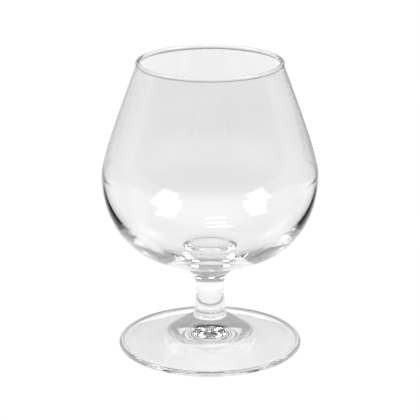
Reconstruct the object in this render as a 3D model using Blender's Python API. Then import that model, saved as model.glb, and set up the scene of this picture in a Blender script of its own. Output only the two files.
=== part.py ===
"""A short-stemmed brandy glass made of three pieces of clear glass: a blown bowl, a stem and a pressed foot.

Every piece is a solid turned about the Z axis. The foot stands on z = 0, the stem is seated on the boss
of the foot, and the bowl is seated on the collar of the stem. A thin weld seam lies between the pieces.
"""

import math

import bpy
from mathutils import Vector
from mathutils.geometry import interpolate_bezier

MM = 0.001

# Foot: a round base with a flat standing ring, a gently rising brim and a flared boss in the middle
FOOT_RADIUS = 35.35 * MM
FOOT_EDGE_THICKNESS = 2.25 * MM
STANDING_RING_WIDTH = 2.7 * MM
HOLLOW_HEIGHT = 5.2 * MM
FLARE_RADIUS = 20.2 * MM
FLARE_BASE_HEIGHT = 6.8 * MM
BOSS_HEIGHT = 13.3 * MM
BOSS_FULLNESS = 0.32
BRIM_FULLNESS = 0.25

# Stem: a shank that tapers up to a waist, and a neck that widens from there to a collar under the bowl
STEM_LENGTH = 21.35 * MM
STEM_END_RADIUS = 6.0 * MM
WAIST_RADIUS = 5.42 * MM
WAIST_HEIGHT = 9.1 * MM
COLLAR_RADIUS = 11.0 * MM
NECK_FULLNESS = 0.69
COLLAR_FULLNESS = 0.405

# Bowl: a solid floor, a round belly and a wall that narrows towards a beaded rim
BOWL_HEIGHT = 77.75 * MM
BELLY_RADIUS = 41.2 * MM
BELLY_HEIGHT = 33.55 * MM
RIM_RADIUS = 26.93 * MM
RIM_LEAN = math.radians(20.0)
RIM_WALL = 0.9 * MM
RIM_SWELL = 0.48 * MM
BELLY_WALL = 0.67 * MM
INNER_BELLY_RISE = 0.9 * MM
FLOOR_THICKNESS = 1.18 * MM
FLOOR_LIFT = math.radians(1.2)
FLOOR_FULLNESS = 0.59
INNER_FLOOR_FULLNESS = 0.677
BELLY_FULLNESS = 0.592
INNER_BELLY_FULLNESS = 0.59
SHOULDER_FULLNESS = 0.142
WALL_FULLNESS = 0.395

# The weld seam left between two pieces
SEAM = 0.3 * MM

# How finely the turned solids are drawn
SIDES = 48
CURVE_POINTS = 10
ARC_POINTS = 7
MERGE_DISTANCE = 0.001 * MM

GLASS_COLOUR = (0.95, 0.97, 0.97, 1.0)
GLASS_ROUGHNESS = 0.02
GLASS_INDEX = 1.5


def point(radius, height):
    return Vector((radius, height))


def curve(start, start_handle, end_handle, end):
    """Points of one cubic curve, both ends included."""
    return interpolate_bezier(start, start_handle, end_handle, end, CURVE_POINTS)


def arc(centre, radius, start_angle, end_angle):
    """Points of one arc in the plane of the profile, both ends included."""
    step = (end_angle - start_angle) / (ARC_POINTS - 1)
    angles = [start_angle + index * step for index in range(ARC_POINTS)]
    return [centre + radius * point(math.cos(angle), math.sin(angle)) for angle in angles]


def joined(*stretches):
    """One outline from stretches that meet end to end, without repeating the points where they meet."""
    outline = []
    for stretch in stretches:
        for place in stretch:
            if not outline or (place - outline[-1]).length > MERGE_DISTANCE:
                outline.append(place)
    return outline


def foot_outline():
    """From the top of the boss, down the flare and the brim, round the edge and back under the hollow."""
    boss = point(STEM_END_RADIUS, BOSS_HEIGHT)
    flare_end = point(FLARE_RADIUS, FLARE_BASE_HEIGHT)
    edge_radius = FOOT_EDGE_THICKNESS / 2
    edge_centre = point(FOOT_RADIUS - edge_radius, edge_radius)
    brim_drop = FLARE_BASE_HEIGHT - FOOT_EDGE_THICKNESS
    brim_angle = math.atan2(brim_drop, edge_centre.x - FLARE_RADIUS)
    up_the_brim = point(-math.cos(brim_angle), math.sin(brim_angle))
    flare_drop = BOSS_FULLNESS * (BOSS_HEIGHT - FLARE_BASE_HEIGHT)
    flare_run = BRIM_FULLNESS * (FLARE_RADIUS - STEM_END_RADIUS)
    flare = curve(boss, boss - point(0, flare_drop), flare_end + flare_run * up_the_brim, flare_end)
    edge = arc(edge_centre, edge_radius, math.pi / 2 - brim_angle, -math.pi / 2)
    return joined([point(0, BOSS_HEIGHT)], flare, edge, hollow(edge_centre.x - STANDING_RING_WIDTH))


def hollow(radius):
    """The shallow dome under the foot, from the inside of the standing ring to the axis."""
    dome_radius = (radius**2 + HOLLOW_HEIGHT**2) / (2 * HOLLOW_HEIGHT)
    half_angle = math.asin(radius / dome_radius)
    centre = point(0, HOLLOW_HEIGHT - dome_radius)
    return arc(centre, dome_radius, math.pi / 2 - half_angle, math.pi / 2)


def stem_outline():
    """From the flat seat on the collar, down the neck to the waist and down the straight shank to the lower end."""
    collar = point(COLLAR_RADIUS, STEM_LENGTH)
    waist = point(WAIST_RADIUS, WAIST_HEIGHT)
    end = point(STEM_END_RADIUS, 0)
    neck_rise = STEM_LENGTH - WAIST_HEIGHT
    up_the_shank = (waist - end).normalized()
    collar_handle = collar - point(0, COLLAR_FULLNESS * neck_rise)
    neck = curve(collar, collar_handle, waist + NECK_FULLNESS * neck_rise * up_the_shank, waist)
    return joined([point(0, STEM_LENGTH)], neck, [end, point(0, 0)])


def bowl_outline():
    """From the middle of the inner floor, up the inside, over the bead and down the outside to the seat."""
    bead_radius = RIM_WALL / 2 + RIM_SWELL
    bead_centre = point(RIM_RADIUS, BOWL_HEIGHT - bead_radius)
    wall_angle = math.pi / 2 + RIM_LEAN
    open_angle = math.pi - math.asin(RIM_WALL / 2 / bead_radius)
    bead = arc(bead_centre, bead_radius, wall_angle + open_angle, wall_angle - open_angle)

    floor = point(0, FLOOR_THICKNESS)
    inner_belly = point(BELLY_RADIUS - BELLY_WALL, BELLY_HEIGHT + INNER_BELLY_RISE)
    floor_pull = point(INNER_FLOOR_FULLNESS * inner_belly.x, 0)
    inner_belly_pull = point(0, INNER_BELLY_FULLNESS * (inner_belly.y - FLOOR_THICKNESS))
    inner_basin = curve(floor, floor + floor_pull, inner_belly - inner_belly_pull, inner_belly)
    inner_wall = wall_curve(inner_belly, bead[0])

    seat = point(COLLAR_RADIUS, 0)
    belly = point(BELLY_RADIUS, BELLY_HEIGHT)
    up_the_floor = point(math.cos(FLOOR_LIFT), math.sin(FLOOR_LIFT))
    seat_pull = FLOOR_FULLNESS * (BELLY_RADIUS - COLLAR_RADIUS) * up_the_floor
    belly_pull = point(0, BELLY_FULLNESS * BELLY_HEIGHT)
    basin = curve(seat, seat + seat_pull, belly - belly_pull, belly)
    outside = joined(basin, wall_curve(belly, bead[-1]))
    return joined(inner_basin, inner_wall, bead, outside[::-1], [point(0, 0)])


def wall_curve(belly, rim):
    """One side of the upper wall, which leaves the belly upright and reaches the rim at its lean."""
    rise = rim.y - belly.y
    shoulder_pull = point(0, SHOULDER_FULLNESS * rise)
    rim_pull = WALL_FULLNESS * rise * point(-math.sin(RIM_LEAN), math.cos(RIM_LEAN))
    return curve(belly, belly + shoulder_pull, rim - rim_pull, rim)


def clear_glass(name):
    """Clear, smooth, faintly cool glass."""
    material = bpy.data.materials.new(name)
    material.use_nodes = True
    shader = material.node_tree.nodes["Principled BSDF"]
    shader.inputs["Base Color"].default_value = GLASS_COLOUR
    shader.inputs["Roughness"].default_value = GLASS_ROUGHNESS
    shader.inputs["Metallic"].default_value = 0.0
    shader.inputs["Transmission Weight"].default_value = 1.0
    shader.inputs["IOR"].default_value = GLASS_INDEX
    return material


def turned(name, outline, height, axis):
    """A solid of revolution about the Z axis, with its own lowest seat at the given height."""
    mesh = bpy.data.meshes.new(name)
    corners = [(place.x, 0, place.y) for place in outline]
    edges = [(index, index + 1) for index in range(len(corners) - 1)]
    mesh.from_pydata(corners, edges, [])
    mesh.materials.append(clear_glass(name + "_glass"))
    piece = bpy.data.objects.new(name, mesh)
    bpy.context.scene.collection.objects.link(piece)
    piece.location.z = height
    piece.parent = axis
    screw = piece.modifiers.new("turned", "SCREW")
    screw.axis = "Z"
    screw.steps = SIDES
    screw.render_steps = SIDES
    screw.use_smooth_shade = True
    screw.use_merge_vertices = True
    screw.merge_threshold = MERGE_DISTANCE
    return piece


def main():
    for left_over in list(bpy.data.objects):
        bpy.data.objects.remove(left_over)
    axis = bpy.data.objects.new("glass_axis", None)
    bpy.context.scene.collection.objects.link(axis)
    stem_height = BOSS_HEIGHT + SEAM
    bowl_height = stem_height + STEM_LENGTH + SEAM
    turned("foot", foot_outline(), 0, axis)
    turned("stem", stem_outline(), stem_height, axis)
    turned("bowl", bowl_outline(), bowl_height, axis)


main()
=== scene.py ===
"""The looks of the brandy glass: three smooth pieces of clear glass on a pale floor in a plain studio."""

import math

import bpy
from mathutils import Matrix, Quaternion, Vector
from mathutils.geometry import interpolate_bezier


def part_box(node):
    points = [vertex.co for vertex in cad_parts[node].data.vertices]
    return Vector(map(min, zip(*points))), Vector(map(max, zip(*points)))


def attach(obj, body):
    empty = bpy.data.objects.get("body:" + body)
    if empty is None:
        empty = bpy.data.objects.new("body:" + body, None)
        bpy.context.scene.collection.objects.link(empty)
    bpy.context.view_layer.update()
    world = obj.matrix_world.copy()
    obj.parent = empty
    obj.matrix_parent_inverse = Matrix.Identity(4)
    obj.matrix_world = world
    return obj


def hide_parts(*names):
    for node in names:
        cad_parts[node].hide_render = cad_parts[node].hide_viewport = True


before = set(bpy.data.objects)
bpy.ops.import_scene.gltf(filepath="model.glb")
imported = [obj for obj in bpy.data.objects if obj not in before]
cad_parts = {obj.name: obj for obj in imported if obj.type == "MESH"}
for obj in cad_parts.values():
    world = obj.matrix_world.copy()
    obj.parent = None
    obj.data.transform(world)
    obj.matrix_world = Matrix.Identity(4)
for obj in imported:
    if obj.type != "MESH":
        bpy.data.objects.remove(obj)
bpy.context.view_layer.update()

MM = 0.001

# Foot: heights are taken from the table that it stands on
FOOT_EDGE_THICKNESS = 2.25 * MM
STANDING_RING_WIDTH = 2.7 * MM
HOLLOW_HEIGHT = 5.2 * MM
FLARE_RADIUS = 20.2 * MM
FLARE_BASE_HEIGHT = 6.8 * MM
BOSS_FULLNESS = 0.32
BRIM_FULLNESS = 0.25
EDGE_OPENING = math.radians(140.0)

# Stem: heights are taken from the table
STEM_END_RADIUS = 6.0 * MM
WAIST_RADIUS = 5.42 * MM
WAIST_HEIGHT = 22.7 * MM
NECK_FULLNESS = 0.69
COLLAR_FULLNESS = 0.405

# Bowl: heights are taken from the table, and the thickness of its floor from the weld under it
BELLY_HEIGHT = 68.8 * MM
RIM_RADIUS = 26.93 * MM
RIM_LEAN = math.radians(20.0)
RIM_WALL = 0.9 * MM
RIM_SWELL = 0.48 * MM
BELLY_WALL = 0.67 * MM
INNER_BELLY_RISE = 0.9 * MM
FLOOR_THICKNESS = 1.33 * MM
FLOOR_LIFT = math.radians(1.2)
FLOOR_FULLNESS = 0.59
INNER_FLOOR_FULLNESS = 0.677
BELLY_FULLNESS = 0.592
INNER_BELLY_FULLNESS = 0.59
SHOULDER_FULLNESS = 0.142
WALL_FULLNESS = 0.395

# How finely the pieces are drawn
SIDES = 160
CURVE_POINTS = 48
ARC_POINTS = 25
TINY = 0.0005 * MM
SHARP_ANGLE = math.radians(40.0)

# Glass: tone and roughness across its faint clouds
GLASS_INDEX = 1.5
GLASS_TONES = [(0.3, 0.935), (0.7, 0.955)]
GLASS_POLISH = (0.0, 0.004)
CLOUD_SCALE = (60, 60, 60)
LIGHT_BOUNCES = 96

# Ripples in the glass, in waves per metre, which fade out between two heights
RIPPLE_SCALE = (60, 60, 240)
RIPPLE_DEPTH = 0.04 * MM
RIPPLE_HEIGHTS = (37 * MM, 44 * MM)
RIPPLE_STRENGTHS = (1.0, 0.04)

# Room: brightness by elevation in degrees, in front of the glass and behind it, and where the change happens
FRONT_ROOM = [(7, 0.55), (10, 0.01), (52, 0.01), (64, 0.45)]
BACK_ROOM = [(24, 0.46), (32, 0.28), (37, 0.01), (56, 0.01), (66, 0.45)]
ROOM_CHANGE = (0.0, 0.12)

# Lamps: azimuth from the camera's side, elevation, width, height and roll in degrees, and radiance
LAMPS = {
    "right_softbox": (80, 49, 33, 22, 12, 5.0),
    "left_softbox": (-82, 44, 27, 22, -12, 5.0),
    "top_strip": (-165, 75, 12, 5, 0, 5.0),
    "back_strip": (-173, 56, 12, 5, 0, 5.0),
}
LAMP_DISTANCE = 2.0
WATTS_FOR_RADIANCE = 4

# Floor: its even glow to the eye, and its glow through the glass with painted light and shade by the distance
# behind and to the sides
FLOOR_RADIUS = 6.0
FLOOR_DROP = 0.2 * MM
FLOOR_COLOUR = (0.05, 0.05, 0.05, 1)
WHITE = (1, 1, 1, 1)
EYE_GLOW = 0.98
GLASS_GLOW = [(5 * MM, 0.98), (30 * MM, 1.05), (120 * MM, 1.03), (350 * MM, 0.89)]
WIDE_EDGE = (200 * MM, 300 * MM)
WIDE_LEVEL = 0.75
DIM_GLOW = 0.02

# Painted light and shade on the floor that the glass mirrors: a lit lane under it, then patches ahead,
# beside, behind and far behind it
LANE_EDGE = (50 * MM, 90 * MM)
LANE_START = (-20 * MM, 20 * MM)
LANE_FAN = -0.25
SIDE_EDGE = (100 * MM, 130 * MM)
SIDE_LEVEL = 0.8
BACK_EDGE = (160 * MM, 190 * MM)
BACK_LEVEL = 1.0
FAR_EDGE = (250 * MM, 320 * MM)
FAR_SIDES = (-100 * MM, 100 * MM)
FAR_LEVELS = (0.45, 0.1)

# Shade on the floor round the edge of the foot, by the distance from the axis
CONTACT_SHADE = [(33.8 * MM, 1.0), (35.8 * MM, 0.35), (37.8 * MM, 0.8), (60 * MM, 1.0)]

# Camera, in the photograph's square frame
CAMERA_DISTANCE = 695.9 * MM
CAMERA_HEIGHT = 279.0 * MM
AIM_HEIGHT = 54.4 * MM
SENSOR_WIDTH = 36.0
FRAME_PIXELS = 420
FOCAL_PIXELS = 1913.0


def point(radius, height):
    """A point of a profile."""
    return Vector((radius, height))


def curve(start, start_handle, end_handle, end):
    """Points of one cubic curve, both ends included."""
    return interpolate_bezier(start, start_handle, end_handle, end, CURVE_POINTS)


def arc(centre, radius, start_angle, end_angle):
    """Points of one arc in the plane of the profile, both ends included."""
    step = (end_angle - start_angle) / (ARC_POINTS - 1)
    angles = [start_angle + index * step for index in range(ARC_POINTS)]
    return [centre + radius * point(math.cos(angle), math.sin(angle)) for angle in angles]


def joined(*stretches):
    """One outline from stretches that meet end to end, without repeating the points where they meet."""
    outline = []
    for stretch in stretches:
        for place in stretch:
            if not outline or (place - outline[-1]).length > TINY:
                outline.append(place)
    return outline


def foot_outline(radius, weld):
    """From the weld on the boss, down the flare and brim, round the beaded edge and back under the hollow."""
    boss = point(STEM_END_RADIUS, weld)
    flare_end = point(FLARE_RADIUS, FLARE_BASE_HEIGHT)
    edge_radius = FOOT_EDGE_THICKNESS / 2
    edge_centre = point(radius - edge_radius, edge_radius)
    edge = arc(edge_centre, edge_radius, EDGE_OPENING, -math.pi / 2)
    up_the_brim = (flare_end - edge[0]).normalized()
    flare_drop = BOSS_FULLNESS * (weld - FLARE_BASE_HEIGHT)
    flare_run = BRIM_FULLNESS * (FLARE_RADIUS - STEM_END_RADIUS)
    flare = curve(boss, boss - point(0, flare_drop), flare_end + flare_run * up_the_brim, flare_end)
    return joined([point(0, weld)], flare, edge, hollow(edge_centre.x - STANDING_RING_WIDTH))


def hollow(radius):
    """The shallow dome under the foot, from the inside of the standing ring to the axis."""
    dome_radius = (radius**2 + HOLLOW_HEIGHT**2) / (2 * HOLLOW_HEIGHT)
    half_angle = math.asin(radius / dome_radius)
    centre = point(0, HOLLOW_HEIGHT - dome_radius)
    return arc(centre, dome_radius, math.pi / 2 - half_angle, math.pi / 2)


def stem_outline(collar_radius, lower_weld, upper_weld):
    """From the weld on the collar, down the neck to the waist and down the shank to the lower weld."""
    collar = point(collar_radius, upper_weld)
    waist = point(WAIST_RADIUS, WAIST_HEIGHT)
    end = point(STEM_END_RADIUS, lower_weld)
    neck_rise = upper_weld - WAIST_HEIGHT
    up_the_shank = (waist - end).normalized()
    collar_handle = collar - point(0, COLLAR_FULLNESS * neck_rise)
    neck = curve(collar, collar_handle, waist + NECK_FULLNESS * neck_rise * up_the_shank, waist)
    shank = curve(waist, waist.lerp(end, 1 / 3), waist.lerp(end, 2 / 3), end)
    return joined([point(0, upper_weld)], neck, shank, [point(0, lower_weld)])


def bowl_outline(collar_radius, belly_radius, weld, top):
    """From the middle of the inner floor, up the inside, over the bead and down the outside to the weld."""
    bead_radius = RIM_WALL / 2 + RIM_SWELL
    bead_centre = point(RIM_RADIUS, top - bead_radius)
    up_the_wall = point(-math.sin(RIM_LEAN), math.cos(RIM_LEAN))
    wall_angle = math.pi / 2 + RIM_LEAN
    open_angle = math.pi - math.asin(RIM_WALL / 2 / bead_radius)
    bead = arc(bead_centre, bead_radius, wall_angle + open_angle, wall_angle - open_angle)

    inner_floor = point(0, weld + FLOOR_THICKNESS)
    inner_belly = point(belly_radius - BELLY_WALL, BELLY_HEIGHT + INNER_BELLY_RISE)
    floor_pull = point(INNER_FLOOR_FULLNESS * inner_belly.x, 0)
    inner_belly_pull = point(0, INNER_BELLY_FULLNESS * (inner_belly.y - inner_floor.y))
    inner_basin = curve(inner_floor, inner_floor + floor_pull, inner_belly - inner_belly_pull, inner_belly)
    inner_wall = wall_curve(inner_belly, bead[0], up_the_wall)

    seat = point(collar_radius, weld)
    belly = point(belly_radius, BELLY_HEIGHT)
    up_the_floor = point(math.cos(FLOOR_LIFT), math.sin(FLOOR_LIFT))
    seat_pull = FLOOR_FULLNESS * (belly_radius - collar_radius) * up_the_floor
    belly_pull = point(0, BELLY_FULLNESS * (BELLY_HEIGHT - weld))
    basin = curve(seat, seat + seat_pull, belly - belly_pull, belly)
    outside = joined(basin, wall_curve(belly, bead[-1], up_the_wall))
    return joined(inner_basin, inner_wall, bead, outside[::-1], [point(0, weld)])


def wall_curve(belly, rim, up_the_wall):
    """One side of the upper wall, which leaves the belly upright and reaches the rim at its lean."""
    rise = rim.y - belly.y
    shoulder_pull = point(0, SHOULDER_FULLNESS * rise)
    rim_pull = WALL_FULLNESS * rise * up_the_wall
    return curve(belly, belly + shoulder_pull, rim - rim_pull, rim)


def ring(place):
    """The corners that one outline point makes when it is turned about the axis."""
    if place.x < TINY:
        return [(0.0, 0.0, place.y)]
    angles = [2 * math.pi * index / SIDES for index in range(SIDES)]
    return [(place.x * math.cos(angle), place.x * math.sin(angle), place.y) for angle in angles]


def faces_between(upper_start, upper_count, lower_start, lower_count):
    """The faces that join two rings, where either ring can be a single corner on the axis."""
    faces = []
    for index in range(SIDES):
        following = (index + 1) % SIDES
        upper = [upper_start + index, upper_start + following] if upper_count > 1 else [upper_start]
        lower = [lower_start + following, lower_start + index] if lower_count > 1 else [lower_start]
        faces.append(upper[::-1] + lower[::-1])
    return faces


def turned(name, outline, welds, glass, weld_face):
    """A closed, smooth piece turned about the axis. Its flat weld faces get the clear weld material."""
    corners = []
    starts = []
    for place in outline:
        starts.append(len(corners))
        corners.extend(ring(place))
    starts.append(len(corners))
    faces = []
    slots = []
    for index in range(len(outline) - 1):
        upper_count = starts[index + 1] - starts[index]
        lower_count = starts[index + 2] - starts[index + 1]
        band = faces_between(starts[index], upper_count, starts[index + 1], lower_count)
        level = abs(outline[index].y - outline[index + 1].y) < TINY
        at_weld = level and any(abs(outline[index].y - weld) < TINY for weld in welds)
        faces.extend(band)
        slots.extend([int(at_weld)] * len(band))
    mesh = bpy.data.meshes.new(name)
    mesh.from_pydata(corners, [], faces)
    mesh.materials.append(glass)
    mesh.materials.append(weld_face)
    mesh.polygons.foreach_set("material_index", slots)
    mesh.shade_smooth()
    mesh.set_sharp_from_angle(angle=SHARP_ANGLE)
    piece = bpy.data.objects.new(name, mesh)
    bpy.context.scene.collection.objects.link(piece)
    return piece


def glass_pieces():
    """The foot, the stem and the bowl, which meet in the middle of the seams between the solids."""
    foot_low, foot_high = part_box("foot")
    stem_low, stem_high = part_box("stem")
    bowl_low, bowl_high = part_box("bowl")
    lower_weld = (foot_high.z + stem_low.z) / 2
    upper_weld = (stem_high.z + bowl_low.z) / 2
    outlines = {
        "foot": foot_outline(foot_high.x, lower_weld),
        "stem": stem_outline(stem_high.x, lower_weld, upper_weld),
        "bowl": bowl_outline(stem_high.x, bowl_high.x, upper_weld, bowl_high.z),
    }
    glass = clear_glass()
    weld_face = clear_weld()
    for node, outline in outlines.items():
        piece = turned("clear_" + node, outline, (lower_weld, upper_weld), glass, weld_face)
        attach(piece, "root")
        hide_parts(node)


def clear_glass():
    """Clear glass with faint ripples round it from its making, and slight differences of tone and polish."""
    material = bpy.data.materials.new("clear_glass")
    material.use_nodes = True
    nodes = material.node_tree.nodes
    links = material.node_tree.links
    shader = nodes["Principled BSDF"]
    shader.inputs["IOR"].default_value = GLASS_INDEX
    shader.inputs["Transmission Weight"].default_value = 1.0
    place = nodes.new("ShaderNodeTexCoord").outputs["Object"]
    clouds = mottle(nodes, links, place, CLOUD_SCALE)
    links.new(ramp(nodes, links, clouds, GLASS_TONES), shader.inputs["Base Color"])
    links.new(ranged(nodes, links, clouds, 0.0, 1.0, *GLASS_POLISH), shader.inputs["Roughness"])
    links.new(ripples(nodes, links, place), shader.inputs["Normal"])
    return material


def ripples(nodes, links, place):
    """The output of a bump that is strong in the foot and the stem, and faint in the bowl."""
    parts = nodes.new("ShaderNodeSeparateXYZ")
    links.new(place, parts.inputs["Vector"])
    bump = nodes.new("ShaderNodeBump")
    bump.inputs["Distance"].default_value = RIPPLE_DEPTH
    strength = ranged(nodes, links, parts.outputs["Z"], *RIPPLE_HEIGHTS, *RIPPLE_STRENGTHS)
    links.new(strength, bump.inputs["Strength"])
    links.new(mottle(nodes, links, place, RIPPLE_SCALE), bump.inputs["Height"])
    return bump.outputs["Normal"]


def mottle(nodes, links, place, scale):
    """The output of soft noise with its own scale along each axis."""
    stretch = nodes.new("ShaderNodeMapping")
    stretch.inputs["Scale"].default_value = scale
    links.new(place, stretch.inputs["Vector"])
    noise = nodes.new("ShaderNodeTexNoise")
    noise.inputs["Scale"].default_value = 1.0
    noise.inputs["Detail"].default_value = 0.0
    links.new(stretch.outputs["Vector"], noise.inputs["Vector"])
    return noise.outputs["Fac"]


def clear_weld():
    """The face inside a weld, which light passes unbent, as inside one body of glass."""
    material = bpy.data.materials.new("clear_weld")
    material.use_nodes = True
    nodes = material.node_tree.nodes
    nodes.remove(nodes["Principled BSDF"])
    through = nodes.new("ShaderNodeBsdfTransparent")
    material.node_tree.links.new(through.outputs["BSDF"], nodes["Material Output"].inputs["Surface"])
    return material


def floor():
    """A plain round floor that shows white to the eye and through the glass."""
    turns = [2 * math.pi * index / SIDES for index in range(SIDES)]
    edge = [(FLOOR_RADIUS * math.cos(turn), FLOOR_RADIUS * math.sin(turn), -FLOOR_DROP) for turn in turns]
    mesh = bpy.data.meshes.new("floor")
    mesh.from_pydata(edge, [], [tuple(range(SIDES))])
    mesh.materials.append(pale_floor())
    plane = bpy.data.objects.new("floor", mesh)
    bpy.context.scene.collection.objects.link(plane)


def pale_floor():
    """White to the eye and through the glass. The sides of the glass mirror it brightly only where light is
    painted on its glow.
    """
    material = bpy.data.materials.new("pale_floor")
    material.use_nodes = True
    nodes = material.node_tree.nodes
    links = material.node_tree.links
    shader = nodes["Principled BSDF"]
    shader.inputs["Base Color"].default_value = FLOOR_COLOUR
    shader.inputs["Roughness"].default_value = 1.0
    shader.inputs["Specular IOR Level"].default_value = 0.0
    shader.inputs["Emission Color"].default_value = WHITE
    place = nodes.new("ShaderNodeTexCoord").outputs["Object"]
    path = nodes.new("ShaderNodeLightPath")
    to_glass = glow_to_glass(nodes, links, place, path)
    to_eye = combined(nodes, links, "MULTIPLY", path.outputs["Is Camera Ray"], EYE_GLOW)
    shown = combined(nodes, links, "MAXIMUM", to_glass, to_eye)
    glow = combined(nodes, links, "MAXIMUM", shown, DIM_GLOW)
    links.new(glow, shader.inputs["Emission Strength"])
    return material


def glow_to_glass(nodes, links, place, path):
    """The output of the floor's glow through the glass and in its mirrored light, with painted light and
    shade by place on the floor.
    """
    parts = nodes.new("ShaderNodeSeparateXYZ")
    links.new(place, parts.inputs["Vector"])
    sideways = combined(nodes, links, "ABSOLUTE", parts.outputs["X"])
    # Painted light and shade on the floor, as the mirrored rays see it
    lit = painted_light_parts(nodes, links, parts, sideways)
    mirrored = combined(nodes, links, "MULTIPLY", path.outputs["Is Glossy Ray"], lit)
    # Painted shade on the glow far out to the sides
    wide = ranged(nodes, links, sideways, *WIDE_EDGE, 1.0, WIDE_LEVEL)
    passed = combined(nodes, links, "MULTIPLY", path.outputs["Is Transmission Ray"], wide)
    shown = combined(nodes, links, "MAXIMUM", passed, mirrored)
    # Painted falloff of the glow, lighter close behind the glass and darker far behind it
    fade = graded(nodes, links, parts.outputs["Y"], GLASS_GLOW)
    distance = nodes.new("ShaderNodeVectorMath")
    distance.operation = "LENGTH"
    links.new(place, distance.inputs[0])
    shade = graded(nodes, links, distance.outputs["Value"], CONTACT_SHADE)
    shaded = combined(nodes, links, "MULTIPLY", fade, shade)
    return combined(nodes, links, "MULTIPLY", shown, shaded)


def painted_light_parts(nodes, links, parts, sideways):
    """The output of the painted light and shade on the floor: a lit lane that fans out, and the lit and dim
    patches round it.
    """
    beside = combined(nodes, links, "MULTIPLY_ADD", parts.outputs["Y"], LANE_FAN, sideways)
    lit = ranged(nodes, links, beside, *LANE_EDGE, 1.0, 0.0)
    ahead = ranged(nodes, links, parts.outputs["Y"], *LANE_START, 1.0, 0.0)
    sides = ranged(nodes, links, beside, *SIDE_EDGE, 0.0, SIDE_LEVEL)
    behind = ranged(nodes, links, parts.outputs["Y"], *BACK_EDGE, 0.0, BACK_LEVEL)
    for patch in (ahead, sides, behind):
        lit = combined(nodes, links, "MAXIMUM", lit, patch)
    far = nodes.new("ShaderNodeMix")
    links.new(ranged(nodes, links, parts.outputs["Y"], *FAR_EDGE, 0.0, 1.0), far.inputs["Factor"])
    links.new(lit, far.inputs["A"])
    links.new(ranged(nodes, links, parts.outputs["X"], *FAR_SIDES, *FAR_LEVELS), far.inputs["B"])
    return far.outputs["Result"]


def combined(nodes, links, operation, *values):
    """The output of a maths node on outputs of other nodes and on plain numbers."""
    node = nodes.new("ShaderNodeMath")
    node.operation = operation
    for value, socket in zip(values, node.inputs):
        if isinstance(value, float):
            socket.default_value = value
        else:
            links.new(value, socket)
    return node.outputs["Value"]


def ranged(nodes, links, value, from_min, from_max, to_min, to_max):
    """The output of a clamped change of range."""
    node = nodes.new("ShaderNodeMapRange")
    node.inputs["From Min"].default_value = from_min
    node.inputs["From Max"].default_value = from_max
    node.inputs["To Min"].default_value = to_min
    node.inputs["To Max"].default_value = to_max
    links.new(value, node.inputs["Value"])
    return node.outputs["Result"]


def ramp(nodes, links, value, stops):
    """The output of a grey ramp, from pairs of position and level."""
    node = nodes.new("ShaderNodeValToRGB")
    elements = node.color_ramp.elements
    while len(elements) < len(stops):
        elements.new(1.0)
    for element, (position, level) in zip(elements, stops):
        element.position = position
        element.color = (level, level, level, 1)
    links.new(value, node.inputs["Fac"])
    return node.outputs["Color"]


def graded(nodes, links, distance, stops):
    """The output of a grey ramp over a distance, from pairs of distance and level."""
    reach = stops[-1][0]
    share = ranged(nodes, links, distance, 0.0, reach, 0.0, 1.0)
    return ramp(nodes, links, share, [(place / reach, level) for place, level in stops])


def room():
    """A dim room with a light ceiling, which is lighter behind the glass than in front of it."""
    world = bpy.data.worlds.new("room")
    bpy.context.scene.world = world
    world.use_nodes = True
    nodes = world.node_tree.nodes
    links = world.node_tree.links
    direction = nodes.new("ShaderNodeTexCoord")
    parts = nodes.new("ShaderNodeSeparateXYZ")
    links.new(direction.outputs["Generated"], parts.inputs["Vector"])
    height = ranged(nodes, links, parts.outputs["Z"], -1.0, 1.0, 0.0, 1.0)
    behind = ranged(nodes, links, parts.outputs["Y"], *ROOM_CHANGE, 0.0, 1.0)
    blend = nodes.new("ShaderNodeMix")
    blend.data_type = "RGBA"
    links.new(behind, blend.inputs["Factor"])
    links.new(ramp(nodes, links, height, by_height(FRONT_ROOM)), blend.inputs["A"])
    links.new(ramp(nodes, links, height, by_height(BACK_ROOM)), blend.inputs["B"])
    links.new(blend.outputs["Result"], nodes["Background"].inputs["Color"])


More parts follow.
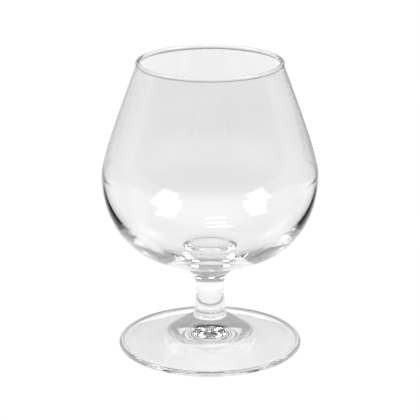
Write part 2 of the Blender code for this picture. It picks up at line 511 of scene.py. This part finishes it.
def by_height(stops):
    """Pairs of elevation and level, with the elevation changed to a share of the full height of the room."""
    return [((math.sin(math.radians(elevation)) + 1) / 2, level) for elevation, level in stops]


def soft_lamp(name, azimuth, elevation, width, height, roll, radiance):
    """A flat soft lamp that faces the glass."""
    data = bpy.data.lights.new(name, "AREA")
    data.shape = "RECTANGLE"
    data.size = 2 * LAMP_DISTANCE * math.tan(math.radians(width) / 2)
    data.size_y = 2 * LAMP_DISTANCE * math.tan(math.radians(height) / 2)
    data.energy = WATTS_FOR_RADIANCE * data.size * data.size_y * radiance
    lamp = bpy.data.objects.new(name, data)
    level = LAMP_DISTANCE * math.cos(math.radians(elevation))
    rise = LAMP_DISTANCE * math.sin(math.radians(elevation))
    turn = math.radians(azimuth)
    lamp.location = (level * math.sin(turn), -level * math.cos(turn), BELLY_HEIGHT + rise)
    towards_glass = Vector((0, 0, BELLY_HEIGHT)) - lamp.location
    facing = towards_glass.to_track_quat("-Z", "Y") @ Quaternion((0, 0, 1), math.radians(roll))
    lamp.rotation_euler = facing.to_euler()
    bpy.context.scene.collection.objects.link(lamp)


def camera():
    """The camera, which stands in front of the glass and looks down at it."""
    data = bpy.data.cameras.new("camera")
    data.sensor_width = SENSOR_WIDTH
    data.lens = FOCAL_PIXELS * SENSOR_WIDTH / FRAME_PIXELS
    eye = bpy.data.objects.new("camera", data)
    eye.location = (0, -CAMERA_DISTANCE, CAMERA_HEIGHT)
    aim = Vector((0, 0, AIM_HEIGHT)) - eye.location
    eye.rotation_euler = aim.to_track_quat("-Z", "Y").to_euler()
    bpy.context.scene.collection.objects.link(eye)
    bpy.context.scene.camera = eye


def long_light_paths():
    """Enough bounces for light to find its way out of the thick parts of the glass."""
    cycles = bpy.context.scene.cycles
    cycles.max_bounces = LIGHT_BOUNCES
    cycles.transmission_bounces = LIGHT_BOUNCES
    cycles.glossy_bounces = LIGHT_BOUNCES
    cycles.transparent_max_bounces = LIGHT_BOUNCES


bpy.context.scene.view_settings.view_transform = "Standard"
long_light_paths()
glass_pieces()
floor()
room()
for name, sizes in LAMPS.items():
    soft_lamp(name, *sizes)
camera()
